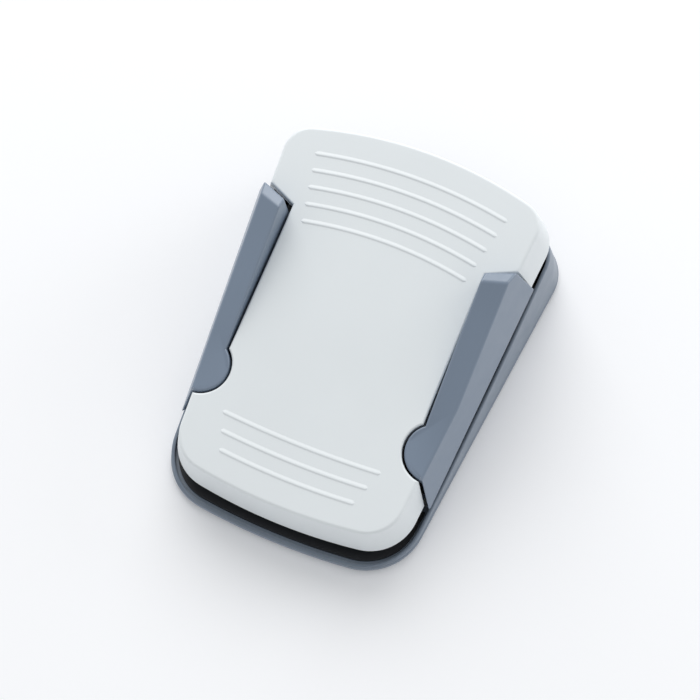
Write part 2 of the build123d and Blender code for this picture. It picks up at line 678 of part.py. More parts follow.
heel_spring = coil_spring((*HEEL_SPRING, CHASSIS_BOTTOM + CHASSIS_FLOOR + 0.9), (0, 0, 1),
                          SPRING_RADIUS, SPRING_WIRE, 18.4, 6)
save(heel_spring, "heel_spring")

for name, centre, top in (("toe", TOE_BUMPER, toe_stop_top), ("heel", HEEL_BUMPER, heel_stop_top)):
    with BuildPart() as bumpers:
        with BuildSketch(Plane.XY.offset(top)):
            with Locations(*both_sides(centre)):
                Circle(4.0)
        extrude(amount=3.5)
        fillet(bumpers.faces().filter_by(Axis.Z).group_by(Axis.Z)[-1].edges(), 1.0)
    save(bumpers.part, f"{name}_bumpers")

# ---- speed sensor and circuit board -----------------------------------------------------------------
board_top = BOARD_Z + BOARD[2]
sensor_top = 40.0
slider_top = 51.1

with BuildPart() as circuit_board:
    with BuildSketch(Plane.XY.offset(BOARD_Z)):
        with Locations(BOARD_CENTRE):
            RectangleRounded(BOARD[0], BOARD[1], 2)
            with GridLocations(BOARD[0] - 8, BOARD[1] - 8, 2, 2):
                Circle(1.3, mode=Mode.SUBTRACT)
    extrude(amount=BOARD[2])
save(circuit_board.part, "circuit_board")

board_plane = Plane.XY.offset(board_top)
board_holes = [(x, y + BOARD_CENTRE[1]) for x in (-31, 31) for y in (-15, 15)]
save(screw(board_plane, board_holes, 1.1, 6.0, 2.2, 1.4), "board_screws")

with BuildPart() as speed_sensor:
    with BuildSketch(board_plane):
        with Locations((0, SENSOR_Y)):
            RectangleRounded(12, 9, 1)
            Circle(2 + RUNNING_FIT, mode=Mode.SUBTRACT)
    extrude(amount=sensor_top - board_top)
save(speed_sensor.part, "speed_sensor")

with BuildPart() as speed_slider:
    with BuildSketch(Plane.XY.offset(20)):
        with Locations((0, SENSOR_Y)):
            Circle(2)
    extrude(amount=slider_top - 20)
    with BuildSketch(Plane.XY.offset(slider_top - 2.5)):
        with Locations((0, SENSOR_Y)):
            Circle(3)
    extrude(amount=1.8)
    fillet(speed_slider.faces().sort_by(Axis.Z)[-1].edges(), 0.5)
save(speed_slider.part, "speed_slider")

with BuildPart() as board_components:
    with BuildSketch(board_plane):
        with Locations((-18, 10), (18, 10)):
            RectangleRounded(9, 9, 0.6)
        with Locations((-16, 26), (-10, 26), (12, 22)):
            Rectangle(4, 2.4)
    extrude(amount=1.6)
    with BuildSketch(board_plane):
        with Locations((20, 25), (-24, 20)):
            Circle(3)
    extrude(amount=7)
save(board_components.part, "board_components")

with BuildPart() as board_connector:
    with BuildSketch(board_plane):
        with Locations((0, 3)):
            Rectangle(16, 6)
    extrude(amount=7)
    with BuildSketch(board_plane.offset(7)):
        with Locations((0, 3)):
            Rectangle(14, 4)
    extrude(amount=-5, mode=Mode.SUBTRACT)
    with BuildSketch(board_plane.offset(2)):
        with Locations((0, 3)):
            with GridLocations(2.5, 1, 5, 1):
                Rectangle(0.7, 0.7)
    extrude(amount=4)
save(board_connector.part, "board_connector")

# ---- lever switches ---------------------------------------------------------------------------------
for side, name in ((1, "right"), (-1, "left")):
    with BuildPart() as lever_switch:
        with BuildSketch(at_depth(CARRIER_TOP)):
            with Locations((side * 39.5, SWITCH_Y)):
                Rectangle(9, 12.8)
        extrude(amount=5.2)
        with BuildSketch(Plane(plate.from_local_coords(Vector(side * 36, SWITCH_Y, -5.6)), z_dir=(side, 0, 0))):
            Circle(0.9 + RUNNING_FIT)
        extrude(amount=12, mode=Mode.SUBTRACT)
    save(lever_switch.part, f"lever_switch_{name}")
    with BuildPart() as switch_plunger:
        with BuildSketch(Plane(plate.from_local_coords(Vector(side * 38, SWITCH_Y, -5.6)), z_dir=(side, 0, 0))):
            Circle(0.9)
        extrude(amount=LEVER_INNER - 38.4)
    save(switch_plunger.part, f"switch_plunger_{name}")

# ---- heel switch ------------------------------------------------------------------------------------
with BuildPart() as heel_switch:
    with BuildSketch(Plane.XY.offset(HEEL_SWITCH_SEAT)):
        with Locations(HEEL_SWITCH):
            Rectangle(12.8, 6.5)
            Circle(1.5 + RUNNING_FIT, mode=Mode.SUBTRACT)
    extrude(amount=11)
save(heel_switch.part, "heel_switch")

with BuildPart() as heel_plunger:
    with BuildSketch(Plane.XY.offset(HEEL_SWITCH_SEAT + 3)):
        with Locations(HEEL_SWITCH):
            Circle(1.5)
    extrude(amount=17)
    fillet(heel_plunger.faces().sort_by(Axis.Z)[-1].edges(), 0.5)
save(heel_plunger.part, "heel_plunger")
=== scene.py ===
import math

import bmesh
import bpy
import numpy as np
from mathutils import Matrix, Vector


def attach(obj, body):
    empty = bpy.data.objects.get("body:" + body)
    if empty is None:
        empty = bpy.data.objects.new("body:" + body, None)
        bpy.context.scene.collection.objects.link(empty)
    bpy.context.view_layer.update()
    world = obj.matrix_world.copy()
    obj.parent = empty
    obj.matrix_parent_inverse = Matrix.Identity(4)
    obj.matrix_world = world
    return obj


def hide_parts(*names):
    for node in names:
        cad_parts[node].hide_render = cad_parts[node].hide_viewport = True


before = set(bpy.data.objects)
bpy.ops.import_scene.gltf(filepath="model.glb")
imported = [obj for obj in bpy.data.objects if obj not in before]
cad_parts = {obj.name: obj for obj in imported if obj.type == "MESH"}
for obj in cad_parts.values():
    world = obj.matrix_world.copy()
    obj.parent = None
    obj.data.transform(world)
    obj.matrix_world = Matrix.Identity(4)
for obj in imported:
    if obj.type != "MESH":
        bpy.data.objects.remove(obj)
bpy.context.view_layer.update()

# ---- dimensions, in millimetres: the CAD's, but for edge radii, rib sections and LEVER_HEEL_GAP -----
MM = 0.001
INCLINE = math.radians(13.0)  # of the treadle's top face
SIN, COS = math.sin(INCLINE), math.cos(INCLINE)
PLATE_HEIGHT = 56.7
TREADLE = dict(side=60.1, flare=0.0652, heel=-101.5, heel_crown=270, heel_corner=18,
               toe=80.3, toe_crown=200, toe_corner=13)
PLATE_EDGE, PLATE_FLAT_MARGIN = 1.7, 1.5
PLATE_WALL, SKIRT_WALL = 2.8, 2.4
SKIRT = math.tan(math.radians(13.0))  # the skirt's spread per millimetre of depth
SKIRT_LOW, SKIRT_RISE = (-102.0, 10.7), 0.211  # a point (y, z) of the lower edge, and its slope
SKIRT_LIP = 0.5

LOBE = (57.5, -53.1)
LOBE_RADIUS, LOBE_GAP = 13.1, 1.1
NOTCH_INNER, NOTCH_TOE, NOTCH_TOE_SLOPE = 48.4, 33.5, 0.45
NOTCH_HEEL, NOTCH_HEEL_SLOPE = (56.0, -67.2), 1.427
NOTCH_LIP = 1.1
NOTCH_MOUTH = (0.5, -0.12)  # how far the cutter widens past the lip, and the depth of that step
CUT_ABOVE, CUT_BELOW = -4.0, 50.0  # depths that clear the plate and the skirt
FLANGE_CLEAR = 1.0  # kept from the skirt's outer face
FLANGE_TOP, FLANGE_DEPTH, FLANGE_WALL = 1.6, 7.5, 2.0
FLANGE_STEP = 2.0
SWITCH_Y, PLUNGER_DEPTH, PLUNGER_HOLE = -25.0, 5.6, 1.4
PLUNGER_SPAN = (44.0, 50.0)

RIB_WIDTH, RIB_HEIGHT, RIB_CREST, RIB_SINK = 3.0, 0.34, -0.4, 0.02
RIB_PITCH = 8.4
TOE_RIBS = dict(count=5, half=49.0, narrowing=1.8, y=60.9, bulge=5.1, flattening=0.18)
HEEL_RIBS = dict(count=3, half=39.2, narrowing=2.85, y=-70.1, bulge=-1.5, flattening=0.0)

LEVER_INNER, LEVER_TOE_GAP, LEVER_HEEL_GAP = 49.5, 3.3, 1.6
LEVER_SIDE, LEVER_DRAFT = (62.66, 0.0857), math.radians(16.5)
LEVER_LOW, LEVER_RISE = (-72.0, 14.6), 0.306
LEVER_WALL, LEVER_SUNK, LEVER_UNDERSIDE = 2.6, 0.3, 8.1
LEVER_TOP = (26.1, -0.322, 0.2315)  # height over the treadle's plane = a + b*x + c*y
LEVER_ROUND, LEVER_SHARP = 1.1, math.radians(24)  # the edges' radius, and the turn that gets one
BEVEL_INNER, BEVEL_OUTER, BEVEL_DROP = (49.6, 25.3, 16.0), (62.3, 30.0, 13.0), 0.5
BLANK_LOW, BLANK_HIGH = -40, 25  # the block that a lever is cut from
HOLLOW_PLAN, HOLLOW_LOW = [(30, -100), (90, -100), (90, 70), (30, 70)], -45

BASE = dict(side=70.15, flare=0.0856, heel=-105.0, heel_crown=330, heel_corner=29,
            toe=105.0, toe_crown=220, toe_corner=24)
BODY_TOP = dict(side=66.35, flare=0.048, heel=-101.2, heel_crown=327, heel_corner=27,
                toe=86.6, toe_crown=200, toe_corner=18)
TRAY_BOTTOM, TRAY_FLOOR, RIM_HEIGHT, RIM_WALL = 1.5, 2.5, 4.5, 2.2
TRAY_FOOT = ((-0.9, 0.0), (-0.3, 0.2), (0.0, 0.9))  # (growth, height) round the tray's lower edge
RIM_ROUND, RIM_BREAK = 0.6, 0.3
BODY_INSET, BODY_WALL, BODY_LOFT_TOP = 0.4, 1.8, 50.0
BODY_EDGE_HEEL, BODY_EDGE_RISE = (-103.0, 4.5), 0.19
BODY_LIP = 0.7
BODY_LEAST = 0.004  # the least share of the wall's full height, where its edge would fall below the rim
INLET_Z, INLET_PAD = 18.0, 102.4
INLET_RECESS, INLET_RECESS_DEPTH = 9.2, 8.0
INLET_BORE, INLET_BORE_SPAN = 6.0, (88.0, 110.0)
INLET_BOSS, INLET_BOSS_START = 8.4, 91.5


# ---- geometry helpers -------------------------------------------------------------------------------
def from_plate(x, y, height):
    """A point measured along the treadle's top face and above it, in the part's frame and metres."""
    return Vector((x, y * COS - height * SIN, PLATE_HEIGHT + y * SIN + height * COS)) * MM


def rising_plane(low, rise):
    """(along, up, rest): the plane through (y, z) = low that rises towards the toe, as the treadle sees it.

    Its points have along*y + up*height + rest = 0.
    """
    return SIN - rise * COS, COS + rise * SIN, PLATE_HEIGHT - low[1] + rise * low[0]


def corner_point(side, flare, end, crown, sign):
    """Where the straight side x = side + flare*y meets the crowned end, heel (sign -1) or toe (1)."""
    centre = end - sign * crown
    a, b, c = 1 + flare ** 2, side * flare - centre, side ** 2 + centre ** 2 - crown ** 2
    y = (-b + sign * math.sqrt(b * b - a * c)) / a
    return side + flare * y, y


def outline(spec, counts=(18, 14, 16, 14, 18)):
    """The tapered outline as a closed anticlockwise loop of (x, y, normal x, normal y)."""
    flare, lean = spec["flare"], math.sqrt(1 + spec["flare"] ** 2)
    side_angle = -math.atan(flare)
    ends = {}
    for end, sign in (("heel", -1), ("toe", 1)):
        radius, crown = spec[end + "_corner"], spec[end + "_crown"]
        cx, cy = corner_point(spec["side"] - radius * lean, flare, spec[end] - sign * radius,
                              crown - radius, sign)
        middle = spec[end] - sign * crown
        ends[end] = (cx, cy, radius, middle, crown, math.atan2(cy - middle, cx))
    hx, hy, hr, hm, hc, ha = ends["heel"]
    tx, ty, tr, tm, tc, ta = ends["toe"]
    half = []

    def arc(cx, cy, r, start, stop, count):
        for i in range(count):
            angle = start + (stop - start) * i / count
            nx, ny = math.cos(angle), math.sin(angle)
            half.append((cx + r * nx, cy + r * ny, nx, ny))

    arc(0, hm, hc, -math.pi / 2, ha, counts[0])
    arc(hx, hy, hr, ha, side_angle, counts[1])
    nx, ny = math.cos(side_angle), math.sin(side_angle)
    start, stop = np.array((hx + hr * nx, hy + hr * ny)), np.array((tx + tr * nx, ty + tr * ny))
    for i in range(counts[2]):
        x, y = start + (stop - start) * i / counts[2]
        half.append((x, y, nx, ny))
    arc(tx, ty, tr, side_angle, ta, counts[3])
    arc(0, tm, tc, ta, math.pi / 2, counts[4])
    half.append((0.0, spec["toe"], 0.0, 1.0))
    return half + [(-x, y, -nx, ny) for x, y, nx, ny in half[-2:0:-1]]


def rounded(radius, degrees):
    """Steps round a rounded edge: how far in from its side, and how far below its top, each one is."""
    return [(radius * (1 - math.cos(math.radians(a))), radius * (1 - math.sin(math.radians(a))))
            for a in degrees]


def linked(name, mesh):
    """A new object of this mesh, in the scene."""
    obj = bpy.data.objects.new(name, mesh)
    bpy.context.scene.collection.objects.link(obj)
    return obj


def mesh_object(name, verts, faces):
    mesh = bpy.data.meshes.new(name)
    mesh.from_pydata([tuple(v) for v in verts], [], faces)
    mesh.update()
    return linked(name, mesh)


def bmesh_object(name, bm):
    mesh = bpy.data.meshes.new(name)
    bm.to_mesh(mesh)
    bm.free()
    return linked(name, mesh)


def remove(obj):
    mesh = obj.data
    bpy.data.objects.remove(obj)
    bpy.data.meshes.remove(mesh)


def loft(name, rings, closed=False):
    """A mesh through rings of equally many points, capped at both ends or closed on itself."""
    count, last = len(rings[0]), len(rings) - 1
    faces = []
    for r in range(last + closed):
        a, b = r * count, (r + 1) % len(rings) * count
        for i in range(count):
            j = (i + 1) % count
            faces.append((a + i, a + j, b + j, b + i))
    if not closed:
        faces.append(tuple(range(count - 1, -1, -1)))
        faces.append(tuple(range(last * count, len(rings) * count)))
    return mesh_object(name, [point for points in rings for point in points], faces)


def tidy_normals(obj, angle=30.0, weighted=True):
    """Outward faces, smooth shading that keeps edges over angle sharp, and flat faces that stay flat."""
    bm = bmesh.new()
    bm.from_mesh(obj.data)
    bmesh.ops.recalc_face_normals(bm, faces=bm.faces[:])
    bm.to_mesh(obj.data)
    bm.free()
    for polygon in obj.data.polygons:
        polygon.use_smooth = True
    obj.data.set_sharp_from_angle(angle=math.radians(angle))
    if weighted:
        modifier = obj.modifiers.new("even_shading", "WEIGHTED_NORMAL")
        modifier.keep_sharp = True
    return obj


def subtract(obj, cutter):
    """Cuts one closed mesh out of another and removes the cutter."""
    modifier = obj.modifiers.new("cut", "BOOLEAN")
    modifier.operation = "DIFFERENCE"
    modifier.solver = "EXACT"
    modifier.object = cutter
    mesh = bpy.data.meshes.new_from_object(obj.evaluated_get(bpy.context.evaluated_depsgraph_get()))
    old = obj.data
    obj.modifiers.clear()
    obj.data = mesh
    bpy.data.meshes.remove(old)
    remove(cutter)
    return obj


def joined(name, objects):
    """One object from several, whose meshes may overlap. They go first, so that their name is free."""
    bm = bmesh.new()
    for obj in objects:
        bm.from_mesh(obj.data)
        remove(obj)
    return bmesh_object(name, bm)


def round_bar(radius, ends, place, count=64):
    """A closed cylinder: place(along, across, up) turns its own coordinates into a point."""
    turns = [math.tau * i / count for i in range(count)]
    bar = loft("bar", [[place(along, radius * math.cos(a), radius * math.sin(a)) for a in turns]
                       for along in ends])
    return tidy_normals(bar, weighted=False)


def srgb(red, green, blue):
    """A display colour, 0 to 255, as the linear colour the shader needs."""
    def linear(c):
        c /= 255
        return c / 12.92 if c <= 0.04045 else ((c + 0.055) / 1.055) ** 2.4
    return linear(red), linear(green), linear(blue), 1.0


# ---- materials --------------------------------------------------------------------------------------
BROAD_SCALE = 18.0  # noise per metre behind the broad colour variation
GLOSS_SCALE = 95.0
WEAR_AND_HIGHLIGHT_RADIUS = 0.0008
WEAR_AND_HIGHLIGHT_FACING = (0.80, 0.995)  # from an edge made paler, partly by wear and partly by a painted highlight, to an untouched face, as the cosine to the bevelled normal
# how much paler the edges get, partly wear and partly painted highlight, and how much glossier
WEAR_AND_HIGHLIGHT_PALER, WEAR_POLISH = 0.35, -0.12


def noise(nodes, links, coord, scale, detail=2.0, stretch=None):
    texture = nodes.new("ShaderNodeTexNoise")
    texture.inputs["Scale"].default_value = scale
    texture.inputs["Detail"].default_value = detail
    if stretch:
        mapping = nodes.new("ShaderNodeMapping")
        mapping.inputs["Scale"].default_value = stretch
        links.new(coord, mapping.inputs["Vector"])
        coord = mapping.outputs["Vector"]
    links.new(coord, texture.inputs["Vector"])
    return texture.outputs["Fac"]


def mapped(nodes, links, value, low, high, source_low=0.3, source_high=0.7):
    node = nodes.new("ShaderNodeMapRange")
    node.inputs["From Min"].default_value = source_low
    node.inputs["From Max"].default_value = source_high
    node.inputs["To Min"].default_value = low
    node.inputs["To Max"].default_value = high
    links.new(value, node.inputs["Value"])
    return node.outputs["Result"]


def finish_material(name, colour, roughness, metallic=0.0, variation=0.04, spread=0.05, grain=2600.0,
                    grain_height=0.00001, wear_and_highlight=0.0, specular=0.5, coat=0.0, stretch=None):
    """A surface with broad colour variation, uneven gloss, fine grain, and edges that are paler and
    glossier: partly rubbed wear, partly a painted highlight.
    """
    material = bpy.data.materials.new(name)
    material.use_nodes = True
    nodes, links = material.node_tree.nodes, material.node_tree.links
    shader = nodes["Principled BSDF"]
    shader.inputs["Metallic"].default_value = metallic
    shader.inputs["Specular IOR Level"].default_value = specular
    shader.inputs["Coat Weight"].default_value = coat
    coord = nodes.new("ShaderNodeTexCoord").outputs["Object"]

    base = nodes.new("ShaderNodeMix")
    base.data_type = "RGBA"
    darker = tuple(c * (1 - variation) for c in colour[:3]) + (1.0,)
    lighter = tuple(min(c * (1 + variation), 1.0) for c in colour[:3]) + (1.0,)
    base.inputs["A"].default_value = darker
    base.inputs["B"].default_value = lighter
    patches = noise(nodes, links, coord, BROAD_SCALE, 3.0)
    links.new(mapped(nodes, links, patches, 0, 1), base.inputs["Factor"])
    colour_out = base.outputs["Result"]

    gloss = mapped(nodes, links, noise(nodes, links, coord, GLOSS_SCALE, 4.0, stretch),
                   roughness - spread, roughness + spread)
    # paler edges: partly wear, partly a painted highlight along every rounded edge
    if wear_and_highlight:
        edge = nodes.new("ShaderNodeBevel")
        edge.samples = 4
        edge.inputs["Radius"].default_value = WEAR_AND_HIGHLIGHT_RADIUS
        geometry = nodes.new("ShaderNodeNewGeometry")
        dot = nodes.new("ShaderNodeVectorMath")
        dot.operation = "DOT_PRODUCT"
        links.new(edge.outputs["Normal"], dot.inputs[0])
        links.new(geometry.outputs["Normal"], dot.inputs[1])
        wear_and_highlight_mask = mapped(nodes, links, dot.outputs["Value"], wear_and_highlight, 0.0, *WEAR_AND_HIGHLIGHT_FACING)
        wear_and_highlight_mix = nodes.new("ShaderNodeMix")
        wear_and_highlight_mix.data_type = "RGBA"
        paler_wear_and_highlight = tuple(c + (1 - c) * WEAR_AND_HIGHLIGHT_PALER for c in colour[:3]) + (1.0,)
        wear_and_highlight_mix.inputs["B"].default_value = paler_wear_and_highlight
        links.new(wear_and_highlight_mask, wear_and_highlight_mix.inputs["Factor"])
        links.new(colour_out, wear_and_highlight_mix.inputs["A"])
        colour_out = wear_and_highlight_mix.outputs["Result"]
        polish = nodes.new("ShaderNodeMath")
        polish.operation = "MULTIPLY_ADD"
        polish.inputs[1].default_value = WEAR_POLISH
        links.new(wear_and_highlight_mask, polish.inputs[0])
        links.new(gloss, polish.inputs[2])
        gloss = polish.outputs["Value"]
    links.new(colour_out, shader.inputs["Base Color"])
    links.new(gloss, shader.inputs["Roughness"])

    bump = nodes.new("ShaderNodeBump")
    bump.inputs["Strength"].default_value = 1.0
    bump.inputs["Distance"].default_value = grain_height
    links.new(noise(nodes, links, coord, grain, 2.0, stretch), bump.inputs["Height"])
    links.new(bump.outputs["Normal"], shader.inputs["Normal"])
    return material


white = finish_material("white_moulding", srgb(236, 241, 243), 0.46, variation=0.012, wear_and_highlight=0.25)
blue = finish_material("blue_moulding", srgb(120, 135, 154), 0.34, variation=0.03, wear_and_highlight=0.5,
                       specular=0.85)
body_blue = finish_material("base_moulding", srgb(120, 133, 149), 0.40, variation=0.03, wear_and_highlight=0.4,
                            specular=0.8)
black = finish_material("black_moulding", srgb(26, 29, 34), 0.55, variation=0.08)
gland_black = finish_material("gland_moulding", srgb(30, 32, 36), 0.34, variation=0.05, grain=1400.0)
rubber = finish_material("soft_rubber", srgb(38, 38, 40), 0.78, variation=0.10, grain=1800.0,
                         grain_height=0.00004, specular=0.3)
acetal = finish_material("natural_acetal", srgb(222, 217, 204), 0.36, variation=0.02)
axle_steel = finish_material("ground_steel", srgb(176, 178, 180), 0.26, metallic=1.0, variation=0.06,
                             stretch=(0.05, 1, 1))
spring_steel = finish_material("spring_wire", srgb(150, 152, 156), 0.32, metallic=1.0, variation=0.10)
screw_steel = finish_material("zinc_plate", srgb(190, 190, 184), 0.34, metallic=1.0, variation=0.12)
laminate = finish_material("board_laminate", srgb(24, 92, 52), 0.30, variation=0.15, grain=3200.0,
                           grain_height=0.00002, coat=0.4)
housing = finish_material("component_housing", srgb(34, 34, 36), 0.48, variation=0.10)
nylon = finish_material("natural_nylon", srgb(226, 222, 206), 0.42, variation=0.03)

NODE_MATERIALS = {
    black: ["chassis", "treadle_carrier"],
    gland_black: ["cable_gland"],
    rubber: ["rubber_feet", "toe_bumpers", "heel_bumpers"],
    acetal: ["pivot_bushes", "switch_plunger_left", "switch_plunger_right", "heel_plunger", "speed_slider"],
    axle_steel: ["treadle_axle", "axle_clips", "lever_pin_left", "lever_pin_right"],
    spring_steel: ["toe_springs", "heel_spring", "lever_spring_left", "lever_spring_right"],
    screw_steel: ["carrier_screws", "chassis_screws", "base_screws", "board_screws"],
    laminate: ["circuit_board"],
    housing: ["board_components", "speed_sensor", "lever_switch_left", "lever_switch_right", "heel_switch"],
    nylon: ["board_connector"],
    white: ["treadle_shell"],
    blue: ["lever_left", "lever_right"],
    body_blue: ["base_body", "base_tray"],
}
for material, names in NODE_MATERIALS.items():
    for node_name in names:
        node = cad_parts[node_name]
        node.data.materials.clear()
        node.data.materials.append(material)


def dress(obj, material, body, slot, *nodes):
    """Gives a piece its material and its moving body, and hides the CAD nodes it stands for. The slot is
    not used.
    """
    obj.data.materials.clear()
    obj.data.materials.append(material)
    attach(obj, body)
    if nodes:
        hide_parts(*nodes)


# ---- treadle shell ----------------------------------------------------------------------------------
def skirt_depth(y, ny, inset):
    """How far below the top face the skirt's lower edge is, on the line that starts at this point."""
    along, down, rest = rising_plane(SKIRT_LOW, SKIRT_RISE)
    return (rest + along * (y - inset * ny)) / (down - along * ny * SKIRT)


def treadle_pan():
    """The plate and its skirt: down the outside, round the lower lip and up the inside."""
    loop = outline(TREADLE)
    rings = []

    def ring(growth, depth):
        rings.append([from_plate(x + nx * growth, y + ny * growth, -depth) for x, y, nx, ny in loop])

    tilt = math.atan(SKIRT)
    centre = PLATE_EDGE * (SKIRT - 1 / math.cos(tilt))
    turn = math.pi / 2 - tilt
    ring(centre - PLATE_FLAT_MARGIN, 0)
    for i in range(9):
        a = turn * i / 8
        ring(centre + PLATE_EDGE * math.sin(a), PLATE_EDGE * (1 - math.cos(a)))
    start = PLATE_EDGE * (1 - math.cos(turn))

    def skirt_ring(share, inset, lift=0.0):
        points = []
        for x, y, nx, ny in loop:
            end = skirt_depth(y, ny, inset) - lift
            depth = start + (end - start) * share
            growth = depth * SKIRT - inset
            points.append(from_plate(x + nx * growth, y + ny * growth, -depth))
        rings.append(points)

    for share in (0.25, 0.5, 0.75):
        skirt_ring(share, 0.0)
    for inward, lift in rounded(SKIRT_LIP, (0, 30, 60, 90)):
        skirt_ring(1.0, inward, lift)
    for inward, lift in rounded(SKIRT_LIP, (90, 45, 0)):
        skirt_ring(1.0, SKIRT_WALL - inward, lift)
    skirt_ring(0.5, SKIRT_WALL)
    ring(PLATE_WALL * SKIRT - SKIRT_WALL, PLATE_WALL)
    return tidy_normals(loft("treadle_shell_visual", rings), weighted=False)


def lobe_path(inner, toe, heel, radius, reach, arc_count):
    """The right side's edge: in along the toe line, down to the lobe, round it, and out on the heel line.

    Both notch and lever follow it. The toe line starts at (inner, toe), and the heel line passes
    (NOTCH_HEEL[0], heel) and leaves the lobe's circle where the two meet.
    """
    cx, cy = LOBE
    dx, dy = NOTCH_HEEL[0] - cx, heel - cy
    t = np.roots([1 + NOTCH_HEEL_SLOPE ** 2, 2 * dx - 2 * NOTCH_HEEL_SLOPE * dy,
                  dx * dx + dy * dy - radius ** 2]).real.max()
    hx, hy = NOTCH_HEEL[0] + t, heel - NOTCH_HEEL_SLOPE * t
    start = math.pi - math.acos((cx - inner) / radius)
    stop = math.atan2(hy - cy, hx - cx) % math.tau
    path = [(inner + reach, toe + reach * NOTCH_TOE_SLOPE), (inner, toe)]
    for i in range(arc_count + 1):
        a = start + (stop - start) * i / arc_count
        path.append((cx + radius * math.cos(a), cy + radius * math.sin(a)))
    path.append((hx + reach, hy - NOTCH_HEEL_SLOPE * reach))
    return path


def notch_path():
    return lobe_path(NOTCH_INNER, NOTCH_TOE, NOTCH_HEEL[1], LOBE_RADIUS + LOBE_GAP,
                     reach=36.0, arc_count=40)


def offset_path(path, distance):
    """A path moved to its right, with mitred corners, which are cut short where they turn sharply."""
    points = [np.array(p) for p in path]
    out = []
    for i, p in enumerate(points):
        before = points[i] - points[i - 1] if i else points[1] - points[0]
        after = points[i + 1] - points[i] if i < len(points) - 1 else before
        before, after = before / np.linalg.norm(before), after / np.linalg.norm(after)
        n1, n2 = np.array((before[1], -before[0])), np.array((after[1], -after[0]))
        bisector = (n1 + n2) / np.linalg.norm(n1 + n2)
        out.append(p + bisector * distance / max(bisector @ n1, 0.4))
    return out


def notch_cutter(side):
    """What is cut from the pan: the notch, widening over the rounded lip at its top."""
    profile = [(0.0, CUT_BELOW)] + rounded(NOTCH_LIP, (0, 13, 26, 39, 52, 65, 78))
    mouth = profile[-1][0] + NOTCH_MOUTH[0]
    profile += [(mouth, NOTCH_MOUTH[1]), (mouth, CUT_ABOVE)]
    path = notch_path()
    rings = [[from_plate(side * x, y, -depth) for x, y in offset_path(path, offset)]
             for offset, depth in profile]
    return tidy_normals(loft("cutter", rings), weighted=False)


def notch_flange(side):
    """The wall that edges the notch under the top face, as far as it stays inside the skirt."""
    dense = []
    path = notch_path()
    for a, b in zip(path, path[1:]):
        steps = max(1, int(math.dist(a, b) / FLANGE_STEP))
        dense += [(a[0] + (b[0] - a[0]) * i / steps, a[1] + (b[1] - a[1]) * i / steps)
                  for i in range(steps)]
    dense.append(path[-1])
    outer = offset_path(dense, FLANGE_WALL)
    inside = [i for i, (x, y) in enumerate(dense)
              if x < TREADLE["side"] + TREADLE["flare"] * y - FLANGE_CLEAR]
    sections = []
    for i in range(inside[0], inside[-1] + 1):
        corners = ((dense[i], FLANGE_TOP), (dense[i], FLANGE_DEPTH), (outer[i], FLANGE_DEPTH),
                   (outer[i], FLANGE_TOP))
        sections.append([from_plate(side * x, y, -depth) for (x, y), depth in corners])
    return tidy_normals(loft("flange", sections), weighted=False)


def plunger_drill(side):
    """A bar along X where the lever switch's plunger passes through the notch's wall."""
    return round_bar(PLUNGER_HOLE, PLUNGER_SPAN, count=32, place=lambda x, across, up: from_plate(
        side * x, SWITCH_Y + across, -PLUNGER_DEPTH + up))


pan = treadle_pan()
for side in (1, -1):
    subtract(pan, notch_cutter(side))
flanges = [subtract(notch_flange(side), plunger_drill(side)) for side in (1, -1)]
shell = tidy_normals(joined("treadle_shell_visual", [pan, *flanges]), angle=28)
dress(shell, white, "treadle", "white_plastic", "treadle_shell")


def rib_bar(half, y, bulge, stations=72, around=16):
    """One grip rib: a soft ridge on a shallow arc, gentle towards the toe and steep towards the heel."""
    radius = (half ** 2 + bulge ** 2) / (2 * abs(bulge))
    centre = y + bulge - math.copysign(radius, bulge)
    reach = math.asin(half / radius)
    sections = []
    for i in range(stations + 1):
        t = -1 + 2 * i / stations
        a = reach * math.copysign(abs(t) ** 0.92, t)  # a little denser towards the rounded ends
        left = (reach - abs(a)) * radius
        size = max(math.sqrt(max(0.0, 1 - max(0.0, 1 - left / (RIB_WIDTH / 2)) ** 2)), 0.02)
        points = []
        for j in range(around + 1):
            share = -1 + 2 * j / around
            toeward = math.copysign(share, share * bulge) - RIB_CREST
            slope = toeward / (1 - RIB_CREST if toeward > 0 else 1 + RIB_CREST)
            up = math.cos(slope * math.pi / 2) ** 2 * RIB_HEIGHT * size - RIB_SINK
            r = radius + share * RIB_WIDTH / 2 * size
            points.append(from_plate(math.sin(a) * r, centre + math.copysign(math.cos(a) * r, bulge), up))
        sections.append(points)
    return loft("rib", sections)


ribs = [rib_bar(row["half"] - row["narrowing"] * i, row["y"] - RIB_PITCH * i,
                row["bulge"] - row["flattening"] * i)
        for row in (TOE_RIBS, HEEL_RIBS) for i in range(row["count"])]
grip = tidy_normals(joined("treadle_ribs", ribs), angle=60, weighted=False)
dress(grip, white, "treadle", "white_plastic")


# ---- levers -----------------------------------------------------------------------------------------
def cut(bm, point, normal):
    """Removes what lies on the normal's side of a plane. Returns the edges round the opening."""
    geometry = bm.verts[:] + bm.edges[:] + bm.faces[:]
    result = bmesh.ops.bisect_plane(bm, geom=geometry, dist=1e-6, plane_co=point, plane_no=normal,
                                    clear_outer=True)
    return [e for e in result["geom_cut"] if isinstance(e, bmesh.types.BMEdge)]


def cut_closed(bm, point, normal):
    """The same, with a face over the opening."""
    edges = cut(bm, point, normal)
    if edges:
        bmesh.ops.contextual_create(bm, geom=edges)


def lever_plan():
    toe = NOTCH_TOE + (LEVER_INNER - NOTCH_INNER) * NOTCH_TOE_SLOPE
    toe -= LEVER_TOE_GAP * math.sqrt(1 + NOTCH_TOE_SLOPE ** 2)
    heel = NOTCH_HEEL[1] + LEVER_HEEL_GAP * math.sqrt(1 + NOTCH_HEEL_SLOPE ** 2)
    return lobe_path(LEVER_INNER, toe, heel, LOBE_RADIUS, reach=26.0, arc_count=36)


